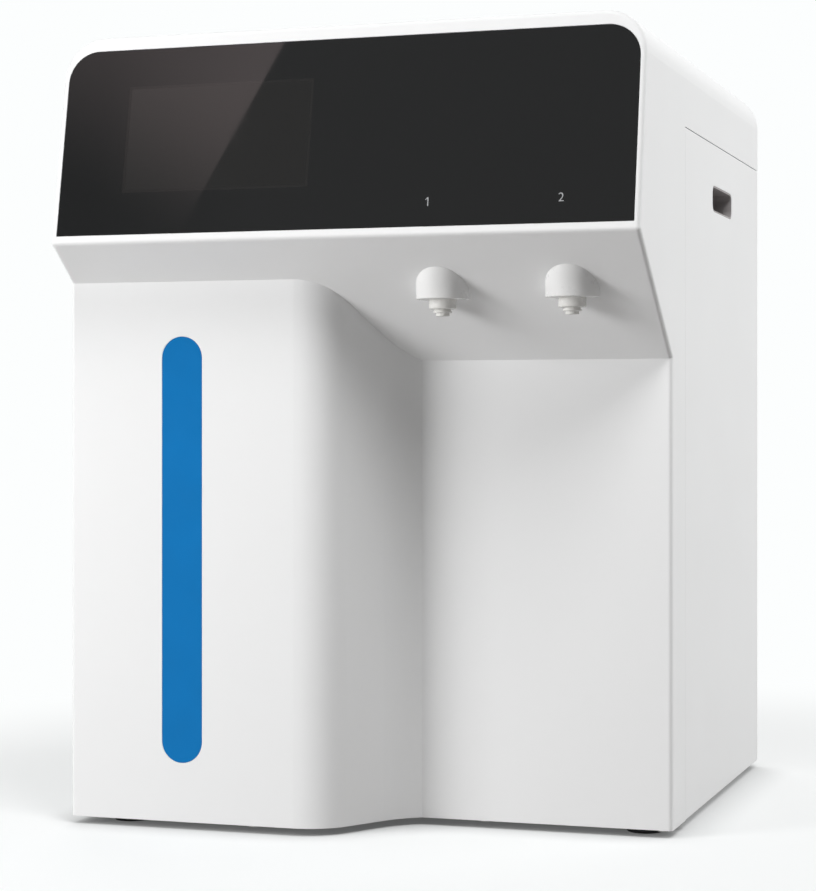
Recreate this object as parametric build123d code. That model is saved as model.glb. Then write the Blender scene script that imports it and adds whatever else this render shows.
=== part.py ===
from build123d import *
import os
from math import cos, radians, sin, tan

# A bench-top laboratory water purifier in millimetres.
# X runs to the right, Z up, and while modelling Y is the depth behind the lip under the
# control face. The finished pieces are moved forward, so that the origin is at mid depth.

# Housing
width = 400.0
height = 530.0
depth = 430.0
ground_gap = 5.0
wall = 3.0
lip_height = 390.0
face_lean = 10.3
underside_drop = 38.0
corner_radius = 28.0
rim_radius = 3.0
recess_depth = 98.0
bulge_depth = 31.0
bulge_turn_x = -39.0
bulge_outer_radius = 36.0
bulge_outer_turn = 60.0
bulge_inner_radius = 61.0
bulge_end_turn = 32.0

# Control face
bezel_side = 4.2
bezel_top = 9.6
bezel_bottom = 5.7
glass_thickness = 3.0
glass_set_back = 0.2
glass_gap = 0.3
glass_corner_radius = 21.0
glass_seat_width = 10.0
glass_seat_thickness = 2.8
display_x = -85.3
display_width = 131.0
display_margins = (28.3, 25.7)
display_thickness = 7.0
display_border = 4.0
touch_board_left = 4.0
touch_board_inset = 20.0
touch_board_margins = (22.8, 20.2)
touch_board_thickness = 1.6
touch_chip = 14.0

# Blue strip on the bulge
strip_width = 28.7
strip_x = -118.3
strip_low = 44.5
strip_top_drop = 61.1
strip_thickness = 1.5
strip_gap = 0.15

# Dispensing outlets
outlet_xs = {"1": 61.0, "2": 147.2}
outlet_depth = 40.8
cap_radius = 17.2
cap_wall = 2.5
cap_edge = 0.6
cap_rim_drop = 38.7
collar_radius = 8.9
collar_drop = 45.0
stem_radius = 6.0
stem_clearance = 0.3
stem_drop = 5.0
outlet_bore = 3.0
spout_radius = 4.4
spout_drop = 49.5
outlet_boss_radius = 14.0
outlet_boss_drop = 15.0
outlet_nut_height = 6.0

# Release collets
collet_travel = 1.2
collet_flange = 1.2
collet_sleeve = 0.85
collet_depth = 7.3
running = 0.05
fixed_fit = 0.02

# Side doors
seam_depth = 140.6
seam_drop = 60.5
seam_gap = 0.45
door_clearance = 0.2
door_edge_radius = 0.5
hinge_radius = 3.2
hinge_pin_radius = 1.5
hinge_pin_length = 20.0
rib_inset = 14.0
rib_thickness = 2.0
rib_height = 6.0
jamb_lap = 9.0
jamb_clearance = 0.5
slot_depths = (240.2, 313.8)
slot_drops = (46.8, 30.4)
slot_radius = 4.8
cup_depth = 20.0
cup_wall = 2.0
cup_lip = 1.2
cup_lip_set_back = 0.2
cup_outer_round = 3.0
cup_inner_round = 2.0
cup_flange = 5.0
cup_flange_thickness = 1.5
magnet_size = (6.0, 26.0, 9.0)

# Sheet metal and fasteners
sheet = 2.0
seat_gap = 0.3
floor_inset = 3.3
floor_gap = 0.5
base_edge_inset = 10.5
upstand_height = 25.0
screw_radius = 2.0
screw_length = 14.0
screw_head_radius = 4.0
screw_head_height = 2.2
boss_radius = 5.5
boss_height = 18.0
boss_inset = 8.0
inner_boss_x = 70.0
left_boss_setback = 60.0
foot_radius = 12.5
foot_recess = 3.2
foot_edge = 1.0
front_foot_insets = (32.0, 23.6)
front_foot_setbacks = (29.0, 25.0)
rear_foot_inset = 42.0
rear_foot_setback = 32.0
bush_height = 5.0

# Rear panel
fan_inset = 80.0
fan_drop = 38.0
fan_size = 60.0
fan_depth = 15.0
fan_bore = 28.5
blade_count = 7
vent_slots = 6
vent_pitch = 9.0
vent_slot = (70.0, 4.0)
vent_inset = 90.0
side_screw_drop = 35.0
top_screw_drop = 7.8
top_screw_x = 60.0
low_screw_height = 20.0
low_screw_inset = 24.0
low_screw_xs = (-20.0, 70.0)
inlet_x = 140.0
inlet_heights = (38.5, 97.5)
inlet_width = 27.0
inlet_depth = 30.0
inlet_flange = (2.5, 2.5)
socket_heights = (43.0, 60.0)
socket_width = 23.0
socket_depth = 17.0
fuse_heights = (63.5, 71.5)
fuse_depth = 20.0
fuse_travel = 14.0
rocker_heights = (74.5, 94.5)
rocker_width = 19.0
rocker_tilt = 12.0
port_xs = {"feed": -120.0, "tank": -93.0, "drain": -66.0}
port_height = 60.0
port_hex = 17.0
port_hex_height = 5.0
port_barrel_radius = 8.0
port_barrel = 11.0
port_inner_length = 24.0
port_collet_depth = 8.0

# Chassis
chassis_x = 5.0
chassis_front = 140.0
chassis_drop = 75.0
chassis_lip = 20.0
shelf_inset = 22.0
shelf_front = 154.0

# Cartridges and their heads
cartridge_depths = (190.0, 280.0)
cartridge_insets = {"pretreatment": 65.0, "polishing": 70.0}
cartridge_radius = 33.0
cartridge_bottom = 95.0
shoulder_drop = 25.0
neck_radius = 20.0
neck_clearance = 2.0
head_drop = 17.0
head_thickness = 18.0
head_margin = 32.0
head_depths = (150.0, 320.0)
socket_ring_radius = 26.0
socket_ring_height = 20.0
lug_reach = 3.0
lug_drops = (13.0, 9.0)
lug_width = 10.0
lug_clearance = 0.3

# Membrane housing and ultraviolet chamber
column_depth = 190.0
column_bottom = 50.0
column_drop = 44.0
column_cap = 16.0
column_fitting_length = 10.0
membrane_x = -56.0
membrane_radius = 31.0
lamp_x = 52.0
lamp_radius = 25.0
clip_heights = (115.0, 305.0)
clip_width = 15.0
clip_wall = 3.0

# Booster pump
pump_axis_depth = 92.0
pump_axis_height = 62.0
motor_radius = 38.0
motor_wall = 3.0
motor_inset = 15.0
motor_length = 88.0
pump_head_length = 52.0
pump_port_insets = {"in": 17.0, "out": 41.0}
pump_port_radius = 7.0
pump_port_height = 14.0
shaft_radius = 4.0
armature_radius = 25.0
grommet_radius = 7.0
grommet_depths = (62.0, 122.0)
grommet_inset = 38.0
bracket_margin = 8.0

# Solenoid valves
valve_size = (26.0, 30.0, 20.0)
valve_tube_radius = 6.0
plunger_radius = 4.0
plunger_length = 20.0
plunger_travel = 2.5
coil_size = (28.0, 26.0, 26.0)

# Electronics
supply_size = (98.0, 160.0, 38.0)
supply_inset = 68.0
supply_depth = 300.0
supply_slots = 11
supply_slot = (68.6, 4.0, 1.0)
supply_slot_pitch = 12.0
board_size = (150.0, 120.0, 1.6)
board_inset = 98.0
board_depth = 270.0
standoff_height = 8.0
standoff_radius = 3.0
standoff_inset = 5.0
connector_count = 6
connector_size = (16.0, 10.0, 9.0)
connector_pitch = 22.0
connector_insets = (8.0, 3.0)
capacitor_size = (5.0, 14.0)
capacitor_inset = 14.0
processor_size = (32.0, 2.5)

# Hoses
hose_radius = 3.175
hose_bore = 2.15
hose_bend = 25.0
hose_hole_radius = 4.5
permeate_z = 22.0
drain_lift = 2.0
loop_drop = 29.0
tank_setback = 18.0
feed_setback = 34.0
drain_setback = 31.0
tank_offset = 18.0
membrane_port_offset = 10.0

# Places worked out from the sizes above
lean = radians(face_lean)
drop = radians(underside_drop)
side_x = width / 2
door_in = side_x - wall
jamb_in = door_in - jamb_clearance - wall
seam_height = height - seam_drop
door_front = seam_depth + seam_gap / 2
door_rear = depth - sheet - seam_gap
door_top = seam_height - seam_gap / 2
door_low = ground_gap + door_clearance
hinge_x = side_x - hinge_radius
hinge_z = door_low + hinge_radius
slot_heights = [seam_height - slot_drop for slot_drop in slot_drops]
floor_low = ground_gap + floor_gap
floor_top = floor_low + sheet
rear_in = depth - sheet
base_edge = side_x - base_edge_inset
housing_bosses = [(boss_inset - side_x, bulge_depth + left_boss_setback),
                  (-inner_boss_x, bulge_depth + boss_inset),
                  (inner_boss_x, recess_depth + boss_inset),
                  (side_x - boss_inset, recess_depth + boss_inset)]
foot_places = [(front_foot_insets[0] - side_x, bulge_depth + front_foot_setbacks[0]),
               (side_x - front_foot_insets[1], recess_depth + front_foot_setbacks[1]),
               (rear_foot_inset - side_x, depth - rear_foot_setback),
               (side_x - rear_foot_inset, depth - rear_foot_setback)]
upper_screw_places = [(boss_inset - side_x, height - side_screw_drop),
                      (-top_screw_x, height - top_screw_drop),
                      (top_screw_x, height - top_screw_drop),
                      (side_x - boss_inset, height - side_screw_drop)]
lower_screw_xs = (low_screw_inset - side_x, *low_screw_xs, side_x - low_screw_inset)
lower_screw_places = [(x, low_screw_height) for x in lower_screw_xs]
rear_screw_places = upper_screw_places + lower_screw_places
fan_place = (fan_inset - side_x, height - fan_drop)
vent_place = (side_x - vent_inset, height - fan_drop)
port_reach = port_barrel + collet_travel + collet_flange
face_length = (height - lip_height) / cos(lean)
glass_height = face_length - bezel_top - bezel_bottom
glass_back = glass_set_back + glass_thickness
strip_top = lip_height - strip_top_drop
cap_rim_height = lip_height - cap_rim_drop
collar_bottom = lip_height - collar_drop
spout_bottom = lip_height - spout_drop
stem_top = lip_height - stem_drop
outlet_boss_top = lip_height - outlet_boss_drop
chassis_top = height - chassis_drop
shelf_half_width = side_x - shelf_inset
head_heights = (chassis_top - head_drop - head_thickness, chassis_top - head_drop)
hose_z = sum(head_heights) / 2
cartridge_xs = {"pretreatment": cartridge_insets["pretreatment"] - side_x,
                "polishing": side_x - cartridge_insets["polishing"]}
cartridge_shoulder = head_heights[0] - shoulder_drop
neck_top = head_heights[0] - neck_clearance
lug_heights = [head_heights[0] - lug_drop for lug_drop in lug_drops]
column_top = head_heights[0] - column_drop
motor_xs = (motor_inset - side_x, motor_inset - side_x + motor_length)
pump_head_xs = (motor_xs[1], motor_xs[1] + pump_head_length)
pump_ports = {name: pump_head_xs[0] + inset for name, inset in pump_port_insets.items()}
grommet_xs = (motor_xs[0] + grommet_inset, pump_head_xs[1] - grommet_inset)
valve_xs = {"feed": pump_ports["in"], **{f"dispense_{name}": x for name, x in outlet_xs.items()}}
supply_place = (shelf_half_width - supply_inset, supply_depth)
board_place = (board_inset - shelf_half_width, board_depth)
face_plane = Plane(origin=(0, 0, lip_height), x_dir=(1, 0, 0), z_dir=(0, -cos(lean), sin(lean)))
under_plane = Plane(origin=(0, 0, lip_height), x_dir=(1, 0, 0), z_dir=(0, -sin(drop), -cos(drop)))
centre = -(depth + port_reach) / 2
nodes = {}


def block(xs, ys, zs):
    """A box between a low and a high value along each axis."""
    size = Box(xs[1] - xs[0], ys[1] - ys[0], zs[1] - zs[0])
    return Pos(sum(xs) / 2, sum(ys) / 2, sum(zs) / 2) * size


def post(radius, low, high, x=0.0, y=0.0):
    """An upright cylinder between two heights."""
    return Pos(x, y, (low + high) / 2) * Cylinder(radius, high - low)


def bar_y(radius, front, rear, x, z):
    """A cylinder along the depth."""
    return Pos(x, (front + rear) / 2, z) * Rot(90, 0, 0) * Cylinder(radius, rear - front)


def bar_x(radius, left, right, y, z):
    """A cylinder along the width."""
    return Pos((left + right) / 2, y, z) * Rot(0, 90, 0) * Cylinder(radius, right - left)


def back(outline, start, length):
    """A front view outline carried backwards from a depth."""
    return extrude(Plane.XZ.offset(-start) * outline, -length)


def turned(points):
    """A solid turned about Z from points of radius and height."""
    return revolve(Plane.XZ * make_face(Polyline(*points, close=True)), Axis.Z)


def mirrored(shape):
    """The same shape on the other side of the middle."""
    return mirror(shape, Plane.YZ)


def group(parts):
    """Several separate solids kept together."""
    return Compound([solid for part in parts for solid in part.solids()])


def front_outline(inset, bottom):
    """The front view: a rectangle with its two upper corners rounded."""
    low, high = bottom, height - inset
    sheet_outline = Pos(0, (low + high) / 2) * Rectangle(width - 2 * inset, high - low)
    return fillet(sheet_outline.vertices().sort_by(Axis.Y)[-2:], corner_radius - inset)


def side_form(inset, face_inset, rear, bottom):
    """The form seen from the side: leaning face, lip, sloped underside and recessed wall."""
    face_shift = face_inset / cos(lean)
    under_shift = inset / cos(drop)
    lip_y = (under_shift * tan(lean) + face_shift) / (1 + tan(lean) * tan(drop))
    top = height - inset
    wall_y = recess_depth + inset
    points = [
        (lip_y, lip_height + under_shift - lip_y * tan(drop)),
        (face_shift + (top - lip_height) * tan(lean), top),
        (rear, top),
        (rear, bottom),
        (wall_y, bottom),
        (wall_y, lip_height + under_shift - wall_y * tan(drop)),
    ]
    return extrude(Plane.YZ * make_face(Polyline(*points, close=True)), side_x, both=True)


def floor_outline(inset, rear):
    """The plan of the bulge and the recessed wall, joined by two arcs and a straight."""
    first, last = radians(bulge_outer_turn), radians(bulge_end_turn)
    outer, inner = bulge_outer_radius - inset, bulge_inner_radius + inset
    front = bulge_depth + inset
    rise = recess_depth - bulge_depth - outer * (1 - cos(first)) - inner * (cos(last) - cos(first))
    entry = JernArc((bulge_turn_x, front), (1, 0), outer, bulge_outer_turn)
    straight = Line(entry @ 1, (entry @ 1) + (entry % 1) * (rise / sin(first)))
    exit_arc = JernArc(straight @ 1, straight % 1, inner, bulge_end_turn - bulge_outer_turn)
    rest = Polyline(exit_arc @ 1, (side_x - inset, recess_depth + inset), (side_x - inset, rear),
                    (inset - side_x, rear), (inset - side_x, front), (bulge_turn_x, front))
    return make_face([*entry.edges(), *straight.edges(), *exit_arc.edges(), *rest.edges()])


def housing_form(inset, face_inset, rear, bottom):
    """The whole outer form of the purifier, drawn in by an inset."""
    bulge = extrude(Pos(0, 0, bottom) * floor_outline(inset, rear), lip_height - bottom)
    tunnel = back(front_outline(inset, bottom), 0, rear)
    return (side_form(inset, face_inset, rear, bottom) + bulge) & tunnel


def soft_rim(form):
    """Rounds the edges where the front faces meet the sides and the top, and the lip."""
    edges = []
    for edge in form.edges():
        middle = edge @ 0.5
        on_skin = abs(abs(middle.X) - side_x) < 0.01 or middle.Z > height - corner_radius
        runs_back = edge.bounding_box().size.Y > depth / 2
        if on_skin and not runs_back and ground_gap + 1 < middle.Z and middle.Y < depth - 1:
            edges.append(edge)
        if abs(middle.Y) < 0.01 and abs(middle.Z - lip_height) < 0.01:
            edges.append(edge)
    return fillet(edges, rim_radius)


def glass_outline(grow):
    """The control glass in the plane of the leaning face, drawn larger or smaller."""
    face = Rectangle(width - 2 * bezel_side + 2 * grow, glass_height + 2 * grow)
    top = (Pos(0, bezel_bottom + glass_height / 2) * face).vertices().sort_by(Axis.Y)[-2:]
    return fillet(top, glass_corner_radius + grow)


def face_slab(outline, front, behind):
    """A slab in the leaning face between two distances behind its surface."""
    return face_plane * (Pos(0, 0, -behind) * extrude(outline, behind - front))


def behind_underside():
    """Everything on the inner side of the sloped underside."""
    reach = 2 * height
    return under_plane * Pos(0, 0, -reach / 2) * Box(reach, reach, reach)


def jamb():
    """The ledge behind the front and upper edges of the right-hand door."""
    front_edge, top_edge = seam_depth - seam_gap / 2, seam_height + seam_gap / 2
    long = (front_edge - jamb_lap, rear_in - seat_gap)
    tall = (hinge_z + 2 * hinge_radius, top_edge)
    upper = block((jamb_in, door_in), long, (top_edge, top_edge + jamb_lap))
    upper += block((jamb_in, jamb_in + wall), long, (top_edge - jamb_lap, top_edge))
    front = block((jamb_in, door_in), (front_edge - jamb_lap, front_edge), tall)
    front += block((jamb_in, jamb_in + wall), (front_edge, front_edge + jamb_lap), tall)
    return upper + front


def main_housing():
    body = soft_rim(housing_form(0, 0, depth, ground_gap))
    hollow = housing_form(wall, glass_back + glass_seat_thickness, depth + 10, ground_gap - 10)
    shell = body - hollow
    opening = block((door_in - 1, side_x + 1), (seam_depth - seam_gap / 2, depth + 1),
                    (0, seam_height + seam_gap / 2))
    shell -= opening
    shell -= mirrored(opening)
    hinge_boss = block((hinge_x - 2 * hinge_radius, side_x - 0.5),
                       (door_front - seam_gap - hinge_pin_length / 2, door_front - seam_gap),
                       (ground_gap, hinge_z + hinge_radius))
    for part in (jamb(), hinge_boss):
        shell += part
        shell += mirrored(part)
    shell -= face_slab(glass_outline(glass_gap), -1, glass_back)
    shell -= face_slab(glass_outline(-glass_seat_width), 0, 40)
    shell -= back(strip_outline(strip_gap), 0, bulge_depth + strip_thickness)
    for x in outlet_xs.values():
        boss = post(outlet_boss_radius, cap_rim_height, outlet_boss_top, x, outlet_depth)
        shell += boss & behind_underside()
        shell -= post(stem_radius + stem_clearance, cap_rim_height, outlet_boss_top + 1,
                      x, outlet_depth)
        shell -= post(collar_radius + stem_clearance, collar_bottom, cap_rim_height, x, outlet_depth)
    for x, y in housing_bosses:
        shell += post(boss_radius, floor_top, floor_top + boss_height, x, y) & body
        shell -= post(screw_radius + fixed_fit, floor_top - 1, floor_top + screw_length, x, y)
    for x, z in upper_screw_places:
        shell += bar_y(boss_radius, rear_in - boss_height, rear_in, x, z) & body
        shell -= bar_y(screw_radius + fixed_fit, depth - screw_length - 1, depth, x, z)
    for side in (-1, 1):
        pin_hole = bar_y(hinge_pin_radius + fixed_fit, door_front - hinge_pin_length / 2,
                         door_front, side * hinge_x, hinge_z)
        shell -= pin_hole
    return shell


def strip_outline(grow):
    """The blue strip in the front view, with fully rounded ends."""
    long, wide = strip_top - strip_low + 2 * grow, strip_width + 2 * grow
    return Pos(strip_x, (strip_low + strip_top) / 2) * SlotOverall(long, wide, rotation=90)


def on_glass(left, right, margins):
    """A rectangle on the leaning face, with margins from the glass's lower and upper edges."""
    low = bezel_bottom + margins[0]
    high = bezel_bottom + glass_height - margins[1]
    return Pos((left + right) / 2, (low + high) / 2) * Rectangle(right - left, high - low)


def display_module():
    """The display behind the glass, with a border all round its window."""
    half = display_width / 2 + display_border
    margins = [margin - display_border for margin in display_margins]
    outline = on_glass(display_x - half, display_x + half, margins)
    return face_slab(outline, glass_back, glass_back + display_thickness)


def touch_board():
    outline = on_glass(touch_board_left, side_x - touch_board_inset, touch_board_margins)
    chip_front = glass_back + touch_board_thickness
    board = face_slab(outline, glass_back, chip_front)
    for x in outlet_xs.values():
        chip = Pos(x, bezel_bottom + glass_height / 2) * Rectangle(touch_chip, touch_chip)
        board += face_slab(chip, chip_front, chip_front + touch_board_thickness)
    return board


def outlet_cap(x):
    """An upright cup, cut off along the sloped underside, held up by the fitting's collar."""
    cup = post(cap_radius, cap_rim_height, lip_height)
    cup = fillet(cup.edges().sort_by(Axis.Z)[0], cap_edge)
    cup -= post(cap_radius - cap_wall, cap_rim_height + cap_wall, lip_height + 1)
    cup -= post(stem_radius + stem_clearance, cap_rim_height - 1, cap_rim_height + cap_wall + 1)
    return Pos(x, outlet_depth, 0) * cup - behind_underside()


def outlet_fitting(x):
    sleeve = spout_radius + running + collet_sleeve + running
    pocket_top = collar_bottom + collet_depth
    body = turned([
        (outlet_bore, spout_bottom), (spout_radius, spout_bottom), (spout_radius, pocket_top),
        (sleeve, pocket_top), (sleeve, collar_bottom), (collar_radius - 0.5, collar_bottom),
        (collar_radius, collar_bottom + 0.5), (collar_radius, cap_rim_height),
        (stem_radius, cap_rim_height), (stem_radius, stem_top - 4),
        (hose_radius + 1, stem_top - 4), (hose_radius + 1, stem_top), (outlet_bore, stem_top),
    ])
    return Pos(x, outlet_depth, 0) * body


def collet(bore, wall_out, flange_radius, reach):
    """A release collet with its flange below, and its sleeve going up by the reach."""
    inner = bore + running
    return turned([
        (inner, 0), (flange_radius - 0.3, 0), (flange_radius, 0.3),
        (flange_radius, collet_flange), (inner + wall_out, collet_flange),
        (inner + wall_out, reach), (inner, reach),
    ])


def outlet_collet(x):
    low = collar_bottom - collet_travel - 0.1 - collet_flange
    reach = collet_depth - 0.2 + collet_flange
    return Pos(x, outlet_depth, low) * collet(spout_radius, collet_sleeve, stem_radius, reach)


def outlet_nut(x):
    nut = extrude(RegularPolygon(port_hex / 2, 6, major_radius=False), outlet_nut_height)
    nut -= Cylinder(stem_radius + fixed_fit, 4 * outlet_nut_height)
    return Pos(x, outlet_depth, outlet_boss_top) * nut


def side_door():
    """The right-hand door, with a round bead inside its lower edge that turns on two pins."""
    panel = block((door_in, side_x), (door_front, door_rear), (door_low, door_top))
    panel = fillet(panel.faces().sort_by(Axis.X)[-1].edges(), door_edge_radius)
    panel += bar_y(hinge_radius, door_front, door_rear, hinge_x, hinge_z)
    ys = (door_front + rib_inset, door_rear - rib_inset)
    zs = (hinge_z + 2 * rib_inset, door_top - rib_inset)
    rib = block((door_in - rib_height, door_in), ys, zs)
    inner = block((door_in - 2 * rib_height, door_in), (ys[0] + rib_thickness, ys[1] - rib_thickness),
                  (zs[0] + rib_thickness, zs[1] - rib_thickness))
    door = panel + (rib - inner)
    door -= extrude(Plane.YZ.offset(door_in - 1) * slot_outline(cup_lip + fixed_fit), wall + 2)
    for start, end in ((door_front - 1, door_front + hinge_pin_length / 2 + 2),
                       (door_rear - hinge_pin_length / 2 - 2, door_rear + 1)):
        door -= bar_y(hinge_pin_radius + running, start, end, hinge_x, hinge_z)
    return door


def slot_outline(grow):
    """The finger slot in the side view."""
    long = slot_depths[1] - slot_depths[0] + 2 * grow
    tall = slot_heights[1] - slot_heights[0] + 2 * grow
    middle = Pos(sum(slot_depths) / 2, sum(slot_heights) / 2)
    return middle * RectangleRounded(long, tall, slot_radius + grow)


def finger_cup():
    """The pocket that lines the finger slot, glued to the inside of the door by its flange."""
    start = door_in - cup_depth
    cup = extrude(Plane.YZ.offset(start) * slot_outline(cup_wall), cup_depth)
    cup = fillet(cup.faces().sort_by(Axis.X)[0].edges(), cup_outer_round)
    cup += extrude(Plane.YZ.offset(door_in - cup_flange_thickness) * slot_outline(cup_flange),
                   cup_flange_thickness)
    cup += extrude(Plane.YZ.offset(door_in) * slot_outline(cup_lip), wall - cup_lip_set_back)
    room = extrude(Plane.YZ.offset(start + cup_wall) * slot_outline(0), cup_depth + wall)
    room = fillet(room.faces().sort_by(Axis.X)[0].edges(), cup_inner_round)
    return cup - room


def door_magnet():
    """A magnet held on the inside of the ledge over the right-hand door."""
    middle = sum(slot_depths) / 2
    low = seam_height - jamb_lap
    return block((jamb_in - magnet_size[0], jamb_in), (middle - magnet_size[1] / 2,
                 middle + magnet_size[1] / 2), (low, low + magnet_size[2]))


def hinge_pins():
    half = hinge_pin_length / 2
    front = bar_y(hinge_pin_radius, door_front - half, door_front + half, hinge_x, hinge_z)
    rear = bar_y(hinge_pin_radius, door_rear - half, depth, hinge_x, hinge_z)
    return group([front, rear, mirrored(front), mirrored(rear)])


def screw():
    """A pan head screw, its head below and its shank pointing up from the origin."""
    head = post(screw_head_radius, -screw_head_height, 0)
    head = fillet(head.edges().sort_by(Axis.Z)[0], 1.2)
    drive = extrude(Pos(0, 0, -screw_head_height) * RegularPolygon(1.5, 6), 1.2)
    return head + post(screw_radius, 0, screw_length) - drive


def foot(x, y):
    body = post(foot_radius, 0, floor_low)
    body = chamfer(body.edges().sort_by(Axis.Z)[0], foot_edge)
    body -= post(screw_head_radius + 1, -1, foot_recess)
    body -= post(screw_radius + fixed_fit, 0, floor_low + 1)
    return Pos(x, y, 0) * body


def base_plate():
    outline = floor_outline(floor_inset, rear_in)
    plate = extrude(Pos(0, 0, floor_low) * outline, sheet)
    cut = block((base_edge, width), (door_front - seam_gap - hinge_pin_length, depth),
                (0, floor_top + upstand_height))
    plate -= cut
    plate -= mirrored(cut)
    plate += block((floor_inset - base_edge + 1, base_edge - 1 - floor_inset),
                   (rear_in - sheet, rear_in), (floor_low, floor_top + upstand_height))
    for x, y in foot_places:
        plate += post(screw_head_radius + 1, floor_top, floor_top + bush_height, x, y)
    for x, y in foot_places + housing_bosses:
        plate -= post(screw_radius + fixed_fit, 0, floor_top + 2 * bush_height, x, y)
    for x, z in lower_screw_places:
        plate -= bar_y(screw_radius + fixed_fit, depth - 2 * screw_length, depth, x, z)
    return plate


def base_screws():
    screws = [Pos(x, y, floor_low) * screw() for x, y in housing_bosses]
    screws += [Pos(x, y, foot_recess) * screw() for x, y in foot_places]
    return group(screws)


def rear_screws():
    return group([Pos(x, depth, z) * Rot(90, 0, 0) * screw() for x, z in rear_screw_places])


def rear_panel():
    """The rear sheet: inside the housing's walls above, behind the doors' edges below."""
    upper = back(front_outline(wall + seat_gap, floor_low), rear_in, sheet)
    lower = back(Pos(0, (floor_low + seam_height - 1) / 2)
                 * Rectangle(width - 0.4, seam_height - 1 - floor_low), rear_in, sheet)
    panel = upper + lower
    fan_x, fan_z = fan_place
    for row in range(-2, 3):
        half = (fan_bore ** 2 - (row * vent_pitch) ** 2) ** 0.5 - 3
        slot = SlotOverall(2 * half, vent_slot[1])
        panel -= back(Pos(fan_x, fan_z + row * vent_pitch) * slot, rear_in - 1, sheet + 2)
    for row in range(vent_slots):
        z = vent_place[1] + (row - (vent_slots - 1) / 2) * vent_pitch
        panel -= back(Pos(vent_place[0], z) * SlotOverall(*vent_slot), rear_in - 1, sheet + 2)
    half = inlet_width / 2 + seat_gap
    panel -= block((inlet_x - half, inlet_x + half), (rear_in - 1, depth + 1),
                   (inlet_heights[0] - seat_gap, inlet_heights[1] + seat_gap))
    for x in port_xs.values():
        panel -= bar_y(stem_radius + 0.2, rear_in - 1, depth + 1, x, port_height)
    for x, z in rear_screw_places:
        panel -= bar_y(screw_radius + fixed_fit, rear_in - 1, depth + 1, x, z)
    for side in (-1, 1):
        panel -= bar_y(hinge_pin_radius + fixed_fit, rear_in - 1, depth + 1, side * hinge_x, hinge_z)
    return panel


def fan_frame():
    x, z = fan_place
    front = rear_in - fan_depth
    half = fan_size / 2
    frame = block((x - half, x + half), (front, rear_in), (z - half, z + half))
    frame = fillet(frame.edges().filter_by(Axis.Y), 4.0)
    frame -= bar_y(fan_bore, front - 1, depth, x, z)
    struts = block((x - half + 1, x + half - 1), (front, front + 2), (z - 2, z + 2))
    struts += block((x - 2, x + 2), (front, front + 2), (z - half + 1, z + half - 1))
    struts += bar_y(fan_size / 4, front, front + 3, x, z)
    return frame + struts - bar_y(1.5 + running, front - 1, front + 5, x, z)


def fan_rotor():
    """Hub, blades and shaft, built upright and turned to face the rear."""
    length = fan_depth - 5
    hub = Cylinder(fan_size / 4, length)
    tip = fan_bore - 1
    for turn in range(blade_count):
        blade = Pos((fan_size / 4 + tip) / 2 - 1, 0, 0) * Rot(35, 0, 0)
        hub += Rot(0, 0, turn * 360 / blade_count) * blade * Box(tip - fan_size / 4 + 2, 12, 1.2)
    hub += post(1.5, length / 2, length / 2 + 3.5)
    x, z = fan_place
    return Pos(x, rear_in - 1 - length / 2, z) * Rot(90, 0, 0) * hub


def power_inlet():
    xs = (inlet_x - inlet_width / 2, inlet_x + inlet_width / 2)
    low, high = inlet_heights
    body = block(xs, (depth - inlet_depth, depth), inlet_heights)
    rim, thick = inlet_flange
    flange = block((xs[0] - rim, xs[1] + rim), (depth, depth + thick), (low - rim, high + rim))
    flange = fillet(flange.edges().filter_by(Axis.Y), 2.0)
    flange = chamfer(flange.faces().sort_by(Axis.Y)[-1].edges(), 0.6)
    body += flange
    face = depth + thick
    half = socket_width / 2
    socket = block((inlet_x - half, inlet_x + half), (face - socket_depth, face + 1), socket_heights)
    upper = socket.edges().filter_by(Axis.Y).sort_by(Axis.Z)[-2:]
    body -= chamfer(upper, 5.0)
    body -= block((inlet_x - half, inlet_x + half), (face - fuse_depth - 1, face + 1), fuse_heights)
    half = rocker_width / 2 + 0.3
    body -= block((inlet_x - half, inlet_x + half), (face - 14, face + 1),
                  (rocker_heights[0] - 0.4, rocker_heights[1] + 0.4))
    pins = []
    middle = sum(socket_heights) / 2
    for dx, dz in ((-7, -2), (0, 3), (7, -2)):
        pins.append(block((inlet_x + dx - 1, inlet_x + dx + 1), (face - socket_depth, face - 6),
                          (middle + dz - 2, middle + dz + 2)))
    return group([body, *pins])


def rocker_axis():
    """Depth and height of the rocker's pivot."""
    return depth + inlet_flange[1] - 5, sum(rocker_heights) / 2


def power_rocker():
    """The rocker, tipped to its off side."""
    half = (rocker_heights[1] - rocker_heights[0]) / 2 - 1.6
    rise = half * tan(radians(rocker_tilt))
    outline = make_face(Polyline((5.0, 0), (5.0 + rise, half), (-1, half * 0.85), (-3, 0),
                                 (-1, -half * 0.85), (5.0 + rise, -half), close=True))
    body = extrude(Plane.YZ * outline, rocker_width / 2, both=True)
    body = fillet(body.edges().filter_by(Axis.X), 0.4)
    y, z = rocker_axis()
    return Pos(inlet_x, y, z) * Rot(-rocker_tilt, 0, 0) * body


def fuse_drawer():
    half = socket_width / 2 - 0.1
    face = depth + inlet_flange[1]
    drawer = block((inlet_x - half, inlet_x + half), (face - fuse_depth, face + 1.0),
                   (fuse_heights[0] + 0.1, fuse_heights[1] - 0.1))
    drawer = fillet(drawer.faces().sort_by(Axis.Y)[-1].edges(), 0.5)
    return drawer - block((inlet_x - half + 2, inlet_x + half - 2), (face - fuse_depth + 2, face - 3),
                          (fuse_heights[0] + 1.5, fuse_heights[1] + 1))


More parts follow.
